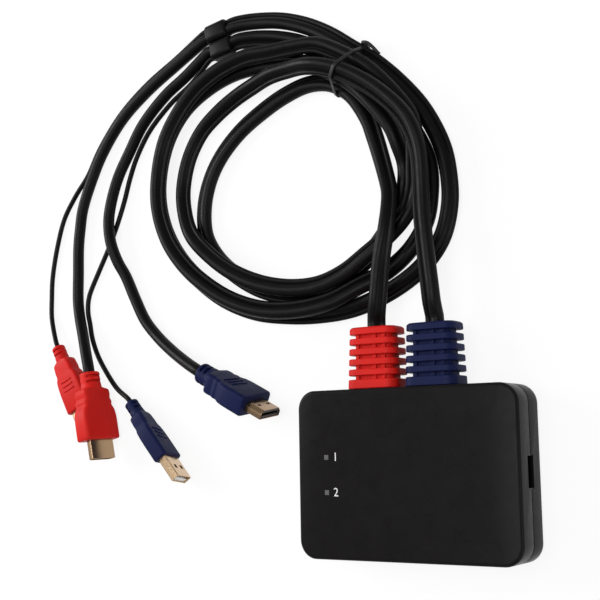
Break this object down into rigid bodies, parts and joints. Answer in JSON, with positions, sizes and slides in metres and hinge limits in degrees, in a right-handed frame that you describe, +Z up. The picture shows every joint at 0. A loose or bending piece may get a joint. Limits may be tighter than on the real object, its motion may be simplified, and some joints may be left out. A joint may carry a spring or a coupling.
{
  "type": "kvm switch",
  "caption": "Low rounded box that shares one screen, keyboard and mouse between computers, with built-in HDMI and USB cords in a tied coil, coloured plugs, side USB socket and button.",
  "frame": {"origin": "centre of the case's footprint, on the table under its rubber feet", "axes": "+X along the wide side of the case, towards the side USB socket; +Y towards the edge the cords leave; +Z up"},
  "size_m": [0.2688, 0.2537, 0.0232],
  "materials": {
    "case_black": "fine matt texture",
    "screw_steel": "zinc plated",
    "foot_rubber": "matt",
    "board_green": "solder mask",
    "chip_black": "moulded",
    "socket_steel": "nickel plated sheet",
    "capacitor_aluminium": "drawn can",
    "component_brown": "ceramic",
    "light_clear": "clear moulding",
    "button_grey": "fine matt texture",
    "insulator_white": "moulded",
    "insulator_black": "moulded",
    "contact_gold": "gold plated",
    "tip_gold": "gold plated sheet",
    "red_insulation": "wire insulation",
    "blue_insulation": "wire insulation",
    "red_rubber": "soft matt moulding",
    "blue_rubber": "soft matt moulding",
    "cord_black": "satin cord jacket",
    "tie_grey": "coated wire"
  },
  "bodies": {
    "switch": {"top_cover": "case_black", "bottom_cover": "case_black", "case_screws": "screw_steel", "rubber_feet": "foot_rubber", "circuit_board": "board_green", "board_screws": "screw_steel", "switch_chip": "chip_black", "hub_chip": "chip_black", "crystals": "socket_steel", "capacitors": "capacitor_aluminium", "chip_components": "component_brown", "status_leds": "light_clear", "light_pipes": "light_clear", "tact_switch": "chip_black", "side_usb_shell": "socket_steel", "side_usb_tongue": "insulator_black", "side_usb_contacts": "contact_gold", "console_usb_shells": "socket_steel", "console_usb_tongues": "insulator_white", "console_usb_contacts": "contact_gold", "hdmi_out_shell": "socket_steel", "hdmi_out_tongue": "insulator_black", "wire_headers": "insulator_white", "red_wires": "red_insulation", "blue_wires": "blue_insulation", "red_strain_relief": "red_rubber", "blue_strain_relief": "blue_rubber", "red_cable": "cord_black", "blue_cable": "cord_black", "red_collar": "cord_black", "blue_collar": "cord_black", "red_hdmi_lead_cord": "cord_black", "blue_hdmi_lead_cord": "cord_black", "red_usb_lead_cord": "cord_black", "blue_usb_lead_cord": "cord_black", "red_hdmi_plug": "red_rubber", "blue_hdmi_plug": "blue_rubber", "red_usb_plug": "red_rubber", "blue_usb_plug": "blue_rubber", "red_hdmi_tip": "tip_gold", "blue_hdmi_tip": "tip_gold", "red_usb_tip": "socket_steel", "blue_usb_tip": "socket_steel", "red_hdmi_core": "insulator_black", "blue_hdmi_core": "insulator_black", "red_usb_core": "insulator_white", "blue_usb_core": "insulator_white", "red_usb_contacts": "contact_gold", "blue_usb_contacts": "contact_gold", "twist_tie": "tie_grey"},
    "button": {"select_button": "button_grey", "tact_plunger": "insulator_white"}
  },
  "joints": [
    {"name": "select_button_press", "type": "slide", "parent": "switch", "child": "button", "axis": [0, 1, 0], "range_m": [0, 0.0008], "stiffness_N_per_m": 600}
  ]
}
